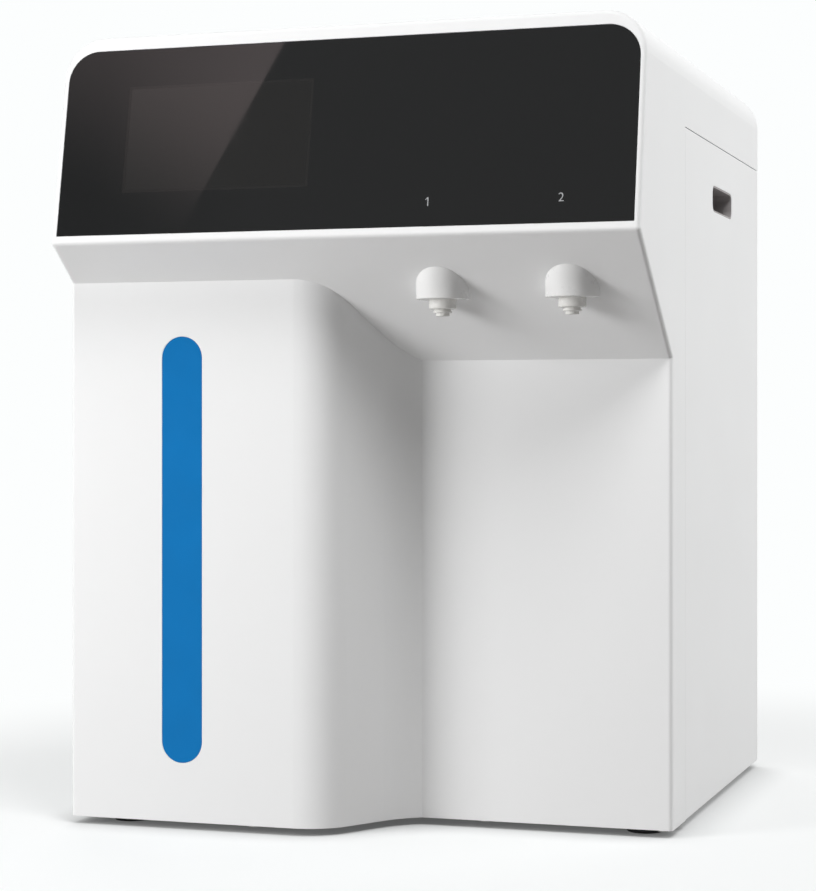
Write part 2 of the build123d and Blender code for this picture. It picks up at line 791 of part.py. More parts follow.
def rear_port(x):
    """A bulkhead hose union: hexagon and barrel outside, thread and nut inside."""
    sleeve = hose_radius + 2 * running + collet_sleeve + 1.0
    body = extrude(RegularPolygon(port_hex / 2, 6, major_radius=False), port_hex_height)
    body += post(port_barrel_radius, port_hex_height, port_barrel)
    body += post(stem_radius, -port_inner_length, 0)
    nut = extrude(RegularPolygon(port_hex / 2, 6, major_radius=False), -4)
    body += Pos(0, 0, -sheet) * nut
    body -= post(hose_radius + running, -port_inner_length - 1, port_barrel + 1)
    body -= post(sleeve, port_barrel - port_collet_depth, port_barrel + 1)
    return Pos(x, depth, port_height) * Rot(-90, 0, 0) * body


def rear_collet(x):
    """The port's collet, its flange outside and its sleeve going into the barrel."""
    reach = port_collet_depth - 0.2 + collet_flange
    body = Rot(180, 0, 0) * collet(hose_radius, collet_sleeve + 1.0, port_barrel_radius - 1.5, reach)
    out = port_barrel + collet_travel + 0.1 + collet_flange
    return Pos(x, depth + out - 0.1, port_height) * Rot(-90, 0, 0) * body


def chassis_plate():
    half = sheet / 2
    xs = (chassis_x - half, chassis_x + half)
    plate = block(xs, (chassis_front, rear_in - sheet - seat_gap), (floor_top, chassis_top))
    lip = (chassis_x - half, chassis_x + half + chassis_lip)
    plate += block(lip, (chassis_front, rear_in - sheet - seat_gap), (floor_top, floor_top + sheet))
    plate += block(lip, (rear_in - sheet, rear_in), (floor_top + upstand_height + 0.5, chassis_top))
    plate += block(xs, (rear_in - 2 * sheet, rear_in), (floor_top + upstand_height + 0.5, chassis_top))
    for y, z in ((column_depth, permeate_z), (tank_y, hose_z)):
        plate -= bar_x(hose_hole_radius, chassis_x - 5, chassis_x + 5, y, z)
    return plate


def electronics_shelf():
    shelf = block((-shelf_half_width, shelf_half_width), (shelf_front, rear_in),
                  (chassis_top, chassis_top + sheet))
    right_of_fan = fan_place[0] + fan_size / 2 + 5
    shelf += block((right_of_fan, vent_place[0] - vent_slot[0] / 2 - 5), (rear_in - sheet, rear_in),
                   (chassis_top, chassis_top + chassis_lip))
    return shelf


def cartridge_head(kind):
    """A manifold plate fixed to the chassis, with a bayonet ring for each cartridge."""
    x = cartridge_xs[kind]
    side = 1 if x > 0 else -1
    inner = chassis_x + side * sheet / 2
    xs = sorted((inner, x + side * head_margin))
    head = block(xs, head_depths, head_heights)
    head = fillet(head.edges().filter_by(Axis.Z), 2.0)
    for y in cartridge_depths:
        low = head_heights[0] - socket_ring_height
        ring = post(socket_ring_radius, low, head_heights[0], x, y)
        ring -= post(neck_radius + running, low - 1, head_heights[0], x, y)
        reach = neck_radius + lug_reach + lug_clearance
        top = lug_heights[1] + lug_clearance
        groove = post(reach, lug_heights[0] - lug_clearance, top, x, y)
        half = lug_width / 2 + lug_clearance
        entry = block((x - half, x + half), (y - reach, y + reach), (low - 1, top))
        head += ring - groove - entry
    return head


def cartridge(kind, y):
    """A filter cartridge with a bayonet neck and two lugs."""
    shoulder = cartridge_shoulder
    r = cartridge_radius
    body = turned([
        (0, cartridge_bottom), (r - 6, cartridge_bottom), (r, cartridge_bottom + 6),
        (r, shoulder - 12), (neck_radius + 4, shoulder), (neck_radius, shoulder),
        (neck_radius, neck_top), (0, neck_top),
    ])
    lugs = block((-neck_radius - lug_reach, neck_radius + lug_reach), (-lug_width / 2, lug_width / 2),
                 lug_heights) & post(neck_radius + lug_reach, *lug_heights)
    return Pos(cartridge_xs[kind], y, 0) * (body + lugs)


def column(x, radius):
    """A closed tube on end with a hose fitting at its top and bottom caps."""
    cap = column_cap
    low, high = column_bottom + column_fitting_length, column_top - column_fitting_length
    return Pos(x, column_depth, 0) * turned([
        (0, low), (radius + 2, low), (radius + 2, low + cap), (radius, low + cap),
        (radius, high - cap), (radius + 2, high - cap), (radius + 2, high), (0, high),
    ])


def column_fitting(x, low, high):
    return post(hose_radius + 2, low, high, x, column_depth)


def membrane_housing():
    body = column(membrane_x, membrane_radius)
    body += column_fitting(membrane_x, column_top - column_fitting_length, column_top)
    for dx in (-membrane_port_offset, membrane_port_offset):
        body += column_fitting(membrane_x + dx, column_bottom, column_bottom + column_fitting_length)
    return body


def uv_chamber():
    body = column(lamp_x, lamp_radius)
    body += column_fitting(lamp_x, column_top - column_fitting_length, column_top)
    return body + column_fitting(lamp_x, column_bottom, column_bottom + column_fitting_length)


def clip(x, radius, z):
    """An open spring clip that holds a column to the chassis plate."""
    side = 1 if x > chassis_x else -1
    face = chassis_x + side * sheet / 2
    ring = post(radius + clip_wall, z, z + clip_width, x, column_depth)
    foot_block = block(sorted((face, x)), (column_depth - 12, column_depth + 12), (z, z + clip_width))
    ring += foot_block
    ring -= post(radius + fixed_fit, z - 1, z + clip_width + 1, x, column_depth)
    mouth = sorted((x + side * radius * 0.3, x + side * (radius + 2 * clip_wall)))
    return ring - block(mouth, (column_depth - radius * 0.8, column_depth + radius * 0.8),
                        (z - 1, z + clip_width + 1))


def column_clips():
    clips = [clip(membrane_x, membrane_radius, z) for z in clip_heights]
    clips += [clip(lamp_x, lamp_radius, z) for z in clip_heights]
    return group(clips)


def motor_can():
    left, right = motor_xs
    y, z = pump_axis_depth, pump_axis_height
    can = bar_x(motor_radius, left, right, y, z)
    can = fillet(can.edges().filter_by(GeomType.CIRCLE), 3.0)
    can -= bar_x(motor_radius - motor_wall, left + motor_wall + 5, right - motor_wall - 5, y, z)
    return can - bar_x(shaft_radius + running, left + motor_wall, right - motor_wall + 10, y, z)


def pump_rotor():
    left, right = motor_xs
    y, z = pump_axis_depth, pump_axis_height
    shaft = bar_x(shaft_radius, left + motor_wall + 0.3, right + 14, y, z)
    return shaft + bar_x(armature_radius, left + motor_wall + 14, right - motor_wall - 14, y, z)


def pump_head():
    """The head is as tall as the motor, so that both rest on the same bracket."""
    left, right = pump_head_xs
    y, z = pump_axis_depth, pump_axis_height
    half = motor_radius
    head = block((left, right), (y - half, y + half), (z - half, z + half))
    head = fillet(head.edges().filter_by(Axis.X), 6.0)
    for x in pump_ports.values():
        head += post(pump_port_radius, z + half - 1, z + half + pump_port_height, x, y)
    return head - bar_x(shaft_radius + 1, left - 1, left + 15, y, z)


def bracket_low():
    """The underside of the pump bracket."""
    return pump_axis_height - motor_radius - sheet


def pump_bracket():
    low = bracket_low()
    ys = (grommet_depths[0] - bracket_margin, grommet_depths[1] + bracket_margin)
    return block((motor_xs[0], pump_head_xs[1]), ys, (low, low + sheet))


def pump_grommets():
    return group([post(grommet_radius, floor_top, bracket_low(), x, y)
                  for x in grommet_xs for y in grommet_depths])


def valve_zs():
    """The heights of the valve block, with its bore level with the cartridge heads."""
    return hose_z - valve_size[2] / 2, hose_z + valve_size[2] / 2


def valve_body(x):
    """A valve block on the head's front face, with the guide tube of its plunger."""
    low, high = valve_zs()
    front = head_depths[0] - valve_size[1]
    middle = head_depths[0] - valve_size[1] / 2
    body = block((x - valve_size[0] / 2, x + valve_size[0] / 2), (front, head_depths[0]), (low, high))
    body = fillet(body.edges().filter_by(Axis.Z), 2.0)
    body += post(valve_tube_radius, high, high + coil_size[2] + 3, x, middle)
    body -= post(plunger_radius + running, high - 4, high + coil_size[2], x, middle)
    return body


def valve_coil(x):
    high = valve_zs()[1]
    middle = head_depths[0] - valve_size[1] / 2
    coil = block((x - coil_size[0] / 2, x + coil_size[0] / 2),
                 (middle - coil_size[1] / 2, middle + coil_size[1] / 2), (high, high + coil_size[2]))
    coil = fillet(coil.edges().filter_by(Axis.Z), 3.0)
    return coil - post(valve_tube_radius + fixed_fit, high - 1, high + 2 * coil_size[2], x, middle)


def valve_plunger(x):
    low = valve_zs()[1] - 4
    return post(plunger_radius, low, low + plunger_length, x, head_depths[0] - valve_size[1] / 2)


def valve_springs():
    """Small return springs, each a sleeve between the plunger and the tube's closed end."""
    springs = []
    top = valve_zs()[1] + coil_size[2]
    low = valve_zs()[1] - 4 + plunger_length
    for x in valve_xs.values():
        y = head_depths[0] - valve_size[1] / 2
        springs.append(post(plunger_radius - 0.5, low, top, x, y) - post(2, low - 1, top + 1, x, y))
    return group(springs)


def power_supply():
    (size_x, size_y, size_z), (x, y) = supply_size, supply_place
    low = chassis_top + sheet
    case = block((x - size_x / 2, x + size_x / 2), (y - size_y / 2, y + size_y / 2), (low, low + size_z))
    case = fillet(case.edges().filter_by(Axis.Z), 1.5)
    long, wide, deep = supply_slot
    for row in range(supply_slots):
        slot_y = y + (row - (supply_slots - 1) / 2) * supply_slot_pitch
        case -= Pos(x, slot_y, low + size_z) * Box(long, wide, 2 * deep)
    return case


def main_board():
    (size_x, size_y, thickness), (x, y) = board_size, board_place
    low = chassis_top + sheet + standoff_height
    board = block((x - size_x / 2, x + size_x / 2), (y - size_y / 2, y + size_y / 2),
                  (low, low + thickness))
    top = low + thickness
    for sx in (-1, 1):
        for sy in (-1, 1):
            board += post(standoff_radius, low - standoff_height, low,
                          x + sx * (size_x / 2 - standoff_inset), y + sy * (size_y / 2 - standoff_inset))
    front = y - size_y / 2 + connector_insets[1]
    radius, tall = capacitor_size
    for row in range(connector_count):
        left = x - size_x / 2 + connector_insets[0] + row * connector_pitch
        board += block((left, left + connector_size[0]), (front, front + connector_size[1]),
                       (top, top + connector_size[2]))
        board += post(radius, top, top + tall, left + connector_size[0] / 2,
                      y + size_y / 2 - capacitor_inset)
    half = processor_size[0] / 2
    return board + block((x - half, x + half), (y - half, y + half), (top, top + processor_size[1]))


# Hose routes: straight runs joined by arcs, each end face to face with its fitting
port_in = depth - port_inner_length
tank_y = port_in - tank_setback
feed_y = port_in - feed_setback
drain_y = port_in - drain_setback
drain_x = port_xs["drain"]
drain_z = permeate_z + drain_lift
reject_x = membrane_x - membrane_port_offset
permeate_x = membrane_x + membrane_port_offset
valve_front = head_depths[0] - valve_size[1]
pump_top = pump_axis_height + motor_radius + pump_port_height
loop_z = hose_z - loop_drop
hose_routes = {
    "feed_hoses": [
        [(port_xs["feed"], port_in, port_height), (port_xs["feed"], feed_y, port_height),
         (port_xs["feed"], feed_y, hose_z), (port_xs["feed"], head_depths[1], hose_z)],
        [(pump_ports["in"], valve_front, hose_z), (pump_ports["in"], pump_axis_depth, hose_z),
         (pump_ports["in"], pump_axis_depth, pump_top)],
        [(pump_ports["out"], pump_axis_depth, pump_top), (pump_ports["out"], pump_axis_depth, loop_z),
         (membrane_x, column_depth, loop_z), (membrane_x, column_depth, column_top)],
        [(reject_x, column_depth, column_bottom), (reject_x, column_depth, drain_z),
         (drain_x, drain_y, drain_z), (drain_x, drain_y, port_height),
         (drain_x, port_in, port_height)],
    ],
    "product_hoses": [
        [(permeate_x, column_depth, column_bottom), (permeate_x, column_depth, permeate_z),
         (lamp_x, column_depth, permeate_z), (lamp_x, column_depth, column_bottom)],
        [(port_xs["tank"], port_in, port_height), (port_xs["tank"], tank_y, port_height),
         (port_xs["tank"], tank_y, hose_z), (lamp_x - tank_offset, tank_y, hose_z),
         (lamp_x - tank_offset, head_depths[1], hose_z)],
        [(lamp_x, column_depth, column_top), (lamp_x, column_depth, head_heights[0])],
        *([(x, valve_front, hose_z), (x, outlet_depth, hose_z), (x, outlet_depth, stem_top)]
          for x in outlet_xs.values()),
    ],
}


def hose(points):
    """A hose along straight runs, each corner rounded as far as its two runs allow."""
    if len(points) == 2:
        path = Line(*points)
    else:
        runs = [(Vector(*b) - Vector(*a)).length for a, b in zip(points, points[1:])]
        shares = [0.9, *[0.48] * (len(runs) - 2), 0.9]
        room = [run * share for run, share in zip(runs, shares)]
        path = FilletPolyline(*points, radius=[min(hose_bend, *pair) for pair in zip(room, room[1:])])
    ring = Circle(hose_radius) - Circle(hose_bore)
    return sweep(Plane(origin=path @ 0, z_dir=path % 0) * ring, path=path)


def hoses(name):
    return group([hose(points) for points in hose_routes[name]])


# Every piece under its own name
nodes["main_housing"] = main_housing()
nodes["control_glass"] = face_slab(glass_outline(0), glass_set_back, glass_back)
nodes["display_module"] = display_module()
nodes["touch_board"] = touch_board()
nodes["accent_strip"] = back(strip_outline(0), bulge_depth, strip_thickness)
for name, x in outlet_xs.items():
    nodes[f"outlet_cap_{name}"] = outlet_cap(x)
    nodes[f"outlet_fitting_{name}"] = outlet_fitting(x)
    nodes[f"outlet_collet_{name}"] = outlet_collet(x)
nodes["outlet_nuts"] = group([outlet_nut(x) for x in outlet_xs.values()])
for name, shape in (("side_door", side_door()), ("finger_cup", finger_cup())):
    nodes[f"{name}_right"] = shape
    nodes[f"{name}_left"] = mirrored(shape)
nodes["door_magnets"] = group([door_magnet(), mirrored(door_magnet())])
nodes["door_hinge_pins"] = hinge_pins()
nodes["rear_panel"] = rear_panel()
nodes["rear_screws"] = rear_screws()
nodes["fan_frame"] = fan_frame()
nodes["fan_rotor"] = fan_rotor()
nodes["power_inlet"] = power_inlet()
nodes["power_rocker"] = power_rocker()
nodes["fuse_drawer"] = fuse_drawer()
for name, x in port_xs.items():
    nodes[f"rear_port_{name}"] = rear_port(x)
    nodes[f"rear_collet_{name}"] = rear_collet(x)
nodes["base_plate"] = base_plate()
nodes["rubber_feet"] = group([foot(x, y) for x, y in foot_places])
nodes["base_screws"] = base_screws()
nodes["chassis_plate"] = chassis_plate()
nodes["electronics_shelf"] = electronics_shelf()
nodes["power_supply"] = power_supply()
nodes["main_board"] = main_board()
for kind in cartridge_xs:
    nodes[f"{kind}_head"] = cartridge_head(kind)
    for number, y in enumerate(cartridge_depths, start=1):
        nodes[f"{kind}_cartridge_{number}"] = cartridge(kind, y)
nodes["membrane_housing"] = membrane_housing()
nodes["uv_chamber"] = uv_chamber()
nodes["column_clips"] = column_clips()
nodes["pump_bracket"] = pump_bracket()
nodes["pump_grommets"] = pump_grommets()
nodes["pump_motor_can"] = motor_can()
nodes["pump_rotor"] = pump_rotor()
nodes["pump_head"] = pump_head()
nodes["valve_bodies"] = group([valve_body(x) for x in valve_xs.values()])
nodes["valve_coils"] = group([valve_coil(x) for x in valve_xs.values()])
nodes["valve_springs"] = valve_springs()
for name, x in valve_xs.items():
    nodes[f"valve_plunger_{name}"] = valve_plunger(x)
for name in hose_routes:
    nodes[name] = hoses(name)

os.makedirs("parts", exist_ok=True)
for name, shape in nodes.items():
    export_step(Pos(0, centre, 0) * shape, f"parts/{name}.step")
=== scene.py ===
from math import cos, pi, radians, sin

import bpy
from mathutils import Matrix, Vector


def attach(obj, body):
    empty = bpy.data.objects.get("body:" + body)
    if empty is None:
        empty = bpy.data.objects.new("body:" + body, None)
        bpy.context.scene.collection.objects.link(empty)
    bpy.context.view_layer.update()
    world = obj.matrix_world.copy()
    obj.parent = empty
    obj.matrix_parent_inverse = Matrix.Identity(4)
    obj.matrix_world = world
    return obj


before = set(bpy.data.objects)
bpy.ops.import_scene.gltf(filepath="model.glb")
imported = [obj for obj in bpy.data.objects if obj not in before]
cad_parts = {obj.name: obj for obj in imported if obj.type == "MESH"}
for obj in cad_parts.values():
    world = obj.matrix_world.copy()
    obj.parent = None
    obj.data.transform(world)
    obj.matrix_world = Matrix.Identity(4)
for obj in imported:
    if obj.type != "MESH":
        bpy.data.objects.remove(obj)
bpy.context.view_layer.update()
scene = bpy.context.scene

# The leaning face, from the CAD: a point on its lower edge, the way up it and the way out of it
face_lean = radians(10.3)
face_foot = Vector((0, -0.2217, 0.390))
face_right = Vector((1, 0, 0))
face_up = Vector((0, sin(face_lean), cos(face_lean)))
face_out = Vector((0, -cos(face_lean), sin(face_lean)))
glass_setback = 0.0002


def on_face(right, up, out=0.0):
    """A point given in metres right, up and out of the glass surface."""
    return face_foot + face_right * right + face_up * up + face_out * (out - glass_setback)


# Camera, as the photograph was taken: level, from the front right, with the frame shifted down
camera_data = bpy.data.cameras.new("camera")
camera_data.sensor_width = 36
camera_data.lens = 92.98
camera_data.shift_y = -0.0291
camera = bpy.data.objects.new("camera", camera_data)
camera.location = (0.50286, -1.60335, 0.27359)
camera.rotation_euler = (radians(90), 0, radians(18.1255))
scene.collection.objects.link(camera)
scene.camera = camera


class Tree:
    """A short way to write shader nodes: most methods add one node and give back its output."""

    def __init__(self, owner):
        owner.use_nodes = True
        self.tree = owner.node_tree
        self.tree.nodes.clear()

    def feed(self, socket, value):
        """Links an output to the socket, or sets a plain value on it."""
        if isinstance(value, bpy.types.NodeSocket):
            self.tree.links.new(value, socket)
        else:
            socket.default_value = value

    def node(self, kind, inputs=None, **settings):
        """Any node, itself: its settings are set first, then its inputs by name or place."""
        made = self.tree.nodes.new(kind)
        for name, value in settings.items():
            setattr(made, name, value)
        for name, value in (inputs or {}).items():
            self.feed(made.inputs[name], value)
        return made

    def math(self, operation, *values):
        return self.node("ShaderNodeMath", dict(enumerate(values)), operation=operation).outputs[0]

    def measure(self, operation, first, second):
        """A number from two vectors, such as their DISTANCE."""
        made = self.node("ShaderNodeVectorMath", {0: first, 1: second}, operation=operation)
        return made.outputs["Value"]

    def parts(self, vector):
        """The x, y and z of a vector."""
        return self.node("ShaderNodeSeparateXYZ", {"Vector": vector}).outputs

    def span(self, value, low, high, to_low=0.0, to_high=1.0, smooth=False):
        """The value, taken from the range low to high into the range to_low to to_high."""
        inputs = {"From Min": low, "From Max": high, "To Min": to_low, "To Max": to_high,
                  "Value": value}
        kind = "SMOOTHSTEP" if smooth else "LINEAR"
        return self.node("ShaderNodeMapRange", inputs, interpolation_type=kind).outputs[0]

    def blend(self, share, first, second):
        """The first colour where share is 0, and the second where it is 1."""
        made = self.node("ShaderNodeMix", data_type="RGBA")
        for name, value in (("Factor_Float", share), ("A_Color", first), ("B_Color", second)):
            self.feed(next(s for s in made.inputs if s.identifier == name), value)
        return next(s for s in made.outputs if s.identifier == "Result_Color")

    def noise(self, place, size, detail):
        inputs = {"Vector": place, "Scale": 1 / size, "Detail": detail}
        return self.node("ShaderNodeTexNoise", inputs).outputs["Fac"]

    def place(self, stretch=(1, 1, 1)):
        """The point in the object's own metres, stretched for grain that runs one way."""
        point = self.node("ShaderNodeTexCoord").outputs["Object"]
        if stretch == (1, 1, 1):
            return point
        return self.node("ShaderNodeMapping", {"Vector": point, "Scale": stretch}).outputs[0]

    def rounded(self, radius):
        """The surface's normal, softened along edges as if they were rounded by the radius."""
        return self.node("ShaderNodeBevel", {"Radius": radius}, samples=4).outputs[0]

    def relief(self, height, depth, normal):
        inputs = {"Height": height, "Distance": depth, "Strength": 1.0, "Normal": normal}
        return self.node("ShaderNodeBump", inputs).outputs[0]

    def principled(self, inputs):
        """The material's own shader, itself, linked to the material's output."""
        shader = self.node("ShaderNodeBsdfPrincipled", inputs)
        self.node("ShaderNodeOutputMaterial", {"Surface": shader.outputs[0]})
        return shader

    def mix(self, share, first, second):
        """The first shader where share is 0, and the second where it is 1."""
        return self.node("ShaderNodeMixShader", {0: share, 1: first, 2: second}).outputs[0]


def grey(level):
    return (level, level, level, 1)


def shade(color, factor):
    return (*(min(1.0, channel * factor) for channel in color), 1)


# Noise seldom leaves this range, so a drift that is spread over it is used in full
noise_low, noise_high = 0.3, 0.7

# Dirt starts below the first height of the grain and is full at the second
dirt_from, dirt_full = 0.5, 0.25
dirt_shade = 0.35

# Wear starts where the softened normal leaves the true one. It comes in patches of this size, and
# between them this share of it is left.
wear_from, wear_full = 0.995, 0.8
wear_patch, wear_left = 0.004, 0.35


def surface(slot, color, roughness, metallic=0.0, tint=0.03, patch=0.06, grain=0.0007,
            depth=0.000006, smudge=0.05, edge=0.0004, worn=1.06, worn_roughness=0.06, ior=1.46,
            stretch=(1, 1, 1), dirt=0.03):
    """A moulded, coated or metal finish: slow drifts of colour, grain, uneven gloss, worn edges.

    tint is how far the colour drifts over patches of the size patch, and smudge how far the
    roughness does over smaller ones. depth is the relief of grain of the size grain, which stretch
    draws out one way, and dirt darkens its low spots. edge is the radius that light catches along
    an edge, where worn brightens the colour and worn_roughness changes the roughness.
    """
    owner = bpy.data.materials.new(slot)
    tree = Tree(owner)
    place = tree.place()
    drift = tree.span(tree.noise(place, patch, 3), noise_low, noise_high)
    base = tree.blend(drift, shade(color, 1 - tint), shade(color, 1 + tint / 2))
    fine = tree.noise(tree.place(stretch), grain, 3)
    dirty = tree.span(fine, dirt_from, dirt_full, 0, dirt)
    base = tree.blend(dirty, base, shade(color, dirt_shade))
    rounded = tree.rounded(edge)
    true_normal = tree.node("ShaderNodeNewGeometry").outputs["Normal"]
    likeness = tree.measure("DOT_PRODUCT", rounded, true_normal)
    broken = tree.span(tree.noise(place, wear_patch, 4), 0.35, 0.65, wear_left, 1)
    wear = tree.math("MULTIPLY", tree.span(likeness, wear_from, wear_full, 0, 1), broken)
    base = tree.blend(wear, base, shade(color, worn))
    gloss = tree.span(tree.noise(place, patch / 3, 4), noise_low, noise_high,
                      roughness - smudge, roughness + smudge)
    gloss = tree.math("ADD", gloss, tree.math("MULTIPLY", wear, worn_roughness))
    shader = tree.principled({"Base Color": base, "Roughness": gloss, "Metallic": metallic,
                              "IOR": ior, "Normal": tree.relief(fine, depth, rounded)})
    return owner, tree, shader


def lay_over(tree, shader, share, color):
    """Puts a colour over the shader's base colour where share is 1."""
    base = shader.inputs["Base Color"].links[0].from_socket
    tree.feed(shader.inputs["Base Color"], tree.blend(share, base, color))


# The display window, measured on the leaning face from the middle of its lower edge
window_centre = (-0.08525, 0.0705)
window_half = (0.06545, 0.0365)
window_border = 0.0016
window_softness = 0.0003


def inside_window(tree, point, inset):
    """1 inside the display window, made smaller by inset all round, and 0 outside it."""
    x, _, z = tree.parts(point)[:3]
    rise = tree.math("MULTIPLY", tree.math("SUBTRACT", z, face_foot.z), 1 / cos(face_lean))
    to_edges = []
    for along, centre, half in zip((x, rise), window_centre, window_half):
        off_centre = tree.math("ABSOLUTE", tree.math("SUBTRACT", along, centre))
        to_edges.append(tree.math("SUBTRACT", half - inset, off_centre))
    nearest = tree.math("MINIMUM", *to_edges)
    return tree.span(nearest, -window_softness, window_softness, smooth=True)


# The glass's dark tones, as the size of their patches and the two colours that each drifts between
print_tones = (0.05, (0.0026, 0.0028, 0.0031, 1), (0.0034, 0.0035, 0.0037, 1))
rim_tones = (0.02, (0.0066, 0.0062, 0.006, 1), (0.0088, 0.008, 0.0078, 1))
screen_tones = (0.03, (0.0052, 0.0049, 0.0047, 1), (0.0062, 0.0058, 0.0055, 1))

# Finger marks: the size of their patches, the noise at which they start and are full, and the
# roughness without and with them. The glass is a little wavy, and its edge is rounded.
finger_patch, finger_from, finger_full = 0.03, 0.45, 0.75
clean_roughness, fingered_roughness = 0.018, 0.05
wave_length, wave_depth = 0.09, 0.000008
glass_edge = 0.0003

# The print mirrors less towards the left: this share of what it should left of dull_x, and all of
# it right of clear_x
dull_x, clear_x = -0.17, -0.06
dull_share = 0.7


def tinted_glass(slot):
    """Black printed glass, clear over the display: the dark window shows a little lighter.

    It has a faint rim, and the display behind it mirrors more than the print at the left does.
    """
    owner = bpy.data.materials.new(slot)
    tree = Tree(owner)
    place = tree.place()
    window = inside_window(tree, place, 0)
    screen = inside_window(tree, place, window_border)
    around_window, rim, dark = (tree.blend(tree.noise(place, patch, 3), first, second)
                                for patch, first, second in (print_tones, rim_tones, screen_tones))
    base = tree.blend(screen, tree.blend(window, around_window, rim), dark)
    fingered = tree.span(tree.noise(place, finger_patch, 4), finger_from, finger_full,
                         clean_roughness, fingered_roughness)
    waves = tree.noise(place, wave_length, 1)
    relief = tree.relief(waves, wave_depth, tree.rounded(glass_edge))
    mirrored_by_print = tree.span(tree.parts(place)[0], dull_x, clear_x, dull_share, 1.0)
    tint = tree.math("MAXIMUM", mirrored_by_print, screen)
    tree.principled({"Base Color": base, "Roughness": fingered, "IOR": 1.33, "Normal": relief,
                     "Specular Tint": tint})
    return owner


def circuit_board(slot):
    """Green solder mask over copper tracks, with pale pads."""
    owner, tree, shader = surface(slot, (0.012, 0.1, 0.035), 0.32, tint=0.15, grain=0.0004,
                                  depth=0.00001)
    point = tree.place()
    tracks = tree.node("ShaderNodeTexBrick", {
        "Vector": point, "Scale": 1.0, "Mortar Size": 0.00035, "Mortar Smooth": 0.3,
        "Brick Width": 0.017, "Row Height": 0.0042, "Color1": grey(0), "Color2": grey(0),
        "Mortar": grey(1)}, offset=0.37)
    lay_over(tree, shader, tracks.outputs["Fac"], (0.03, 0.2, 0.07, 1))
    pads = tree.node("ShaderNodeTexVoronoi", {"Vector": point, "Scale": 160.0})
    inside_pad = tree.span(pads.outputs["Distance"], 0.16, 0.12)
    lay_over(tree, shader, inside_pad, (0.55, 0.5, 0.4, 1))
    return owner


def spangled(slot, color, roughness):
    """Zinc-plated steel: large dull crystals under a fine grain."""
    owner, tree, shader = surface(slot, color, roughness, metallic=1.0, tint=0.06, grain=0.0005,
                                  depth=0.000003, worn=1.15, worn_roughness=-0.08)
    crystals = tree.node("ShaderNodeTexVoronoi", {"Vector": tree.place(), "Scale": 140.0})
    tone = tree.parts(crystals.outputs["Color"])[0]
    lay_over(tree, shader, tree.span(tone, 0, 1, 0, 0.16), shade(color, 0.55))
    return owner


# The settings of surface for each plain material slot of the record
plain_finishes = {
    "housing_white": dict(
        color=(0.885, 0.89, 0.892), roughness=0.42, tint=0.006, patch=0.16, grain=0.0006,
        depth=0.0000035, smudge=0.04, edge=0.0005, worn=1.02, dirt=0.006),
    "display_dark": dict(color=(0.02, 0.021, 0.024), roughness=0.3, tint=0.1),
    "strip_blue": dict(
        color=(0.0052, 0.175, 0.475), roughness=0.42, tint=0.04, patch=0.03, grain=0.0005,
        depth=0.000003, edge=0.0003, worn=1.12, ior=1.25),
    "outlet_white": dict(
        color=(0.87, 0.87, 0.865), roughness=0.3, tint=0.012, patch=0.03, grain=0.0008,
        depth=0.000004, edge=0.0003, worn=1.02, dirt=0.01),
    "fitting_white": dict(
        color=(0.82, 0.815, 0.79), roughness=0.27, tint=0.02, patch=0.012, grain=0.0004,
        depth=0.000003, edge=0.0002, worn=1.03, dirt=0.02),
    "dark_grey_plastic": dict(
        color=(0.37, 0.35, 0.35), roughness=0.5, tint=0.08, grain=0.0009, depth=0.00003, worn=1.3),
    "black_plastic": dict(
        color=(0.018, 0.018, 0.019), roughness=0.42, tint=0.1, grain=0.0008, depth=0.00002,
        worn=2.2),
    "steel_white": dict(
        color=(0.8, 0.805, 0.8), roughness=0.45, tint=0.012, patch=0.1, grain=0.0022,
        depth=0.00002, edge=0.0003, worn=1.03),
    "stainless": dict(
        color=(0.63, 0.62, 0.6), roughness=0.27, metallic=1.0, tint=0.03, grain=0.0009,
        depth=0.000006, stretch=(1, 1, 0.03), worn=1.15, worn_roughness=-0.06),
    "rubber_black": dict(
        color=(0.022, 0.022, 0.023), roughness=0.72, tint=0.15, patch=0.02, grain=0.0006,
        depth=0.00004, worn=1.9, dirt=0.1),
    "hose_white": dict(
        color=(0.78, 0.79, 0.78), roughness=0.34, tint=0.02, grain=0.0006, depth=0.000006),
    "cartridge_white": dict(
        color=(0.84, 0.84, 0.82), roughness=0.36, tint=0.02, patch=0.05, grain=0.0011,
        depth=0.00001, worn=1.03),
    "membrane_white": dict(
        color=(0.76, 0.77, 0.76), roughness=0.3, tint=0.02, grain=0.0011, depth=0.000008,
        worn=1.03),
    "copper_coil": dict(
        color=(0.026, 0.025, 0.024), roughness=0.34, tint=0.12, patch=0.012, grain=0.0012,
        depth=0.00003, smudge=0.08, worn=1.9, dirt=0.1),
    "aluminium_case": dict(
        color=(0.7, 0.7, 0.71), roughness=0.38, metallic=1.0, tint=0.04, grain=0.0008,
        depth=0.000005, stretch=(0.03, 1, 1), worn=1.12),
}
finishes = {slot: surface(slot, **look)[0] for slot, look in plain_finishes.items()}
finishes["tinted_glass"] = tinted_glass("tinted_glass")
finishes["circuit_green"] = circuit_board("circuit_green")
finishes["zinc_steel"] = spangled("zinc_steel", (0.6, 0.6, 0.61), 0.36)

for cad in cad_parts.values():
    for slot in cad.material_slots:
        slot.material = finishes[slot.material.name.split(".")[0]]


# Printed marks: plain numbers under the touch places, and the two marks of the power rocker.
# The 1 has its own outline, in parts of its height, because the font's is a plain bar.
figure_one = [(0.05, -0.5), (0.17, -0.5), (0.17, 0.5), (0.07, 0.5), (-0.17, 0.32), (-0.17, 0.19),
              (0.05, 0.34)]

# How high a capital of the font is in parts of its size, and how much its outlines are drawn in
capital_share = 0.7
outline_inset = 0.00006

# The ink: half of its thickness, and how far its middle stands off the surface
ink_half = 0.00002
ink_lift = 0.00003


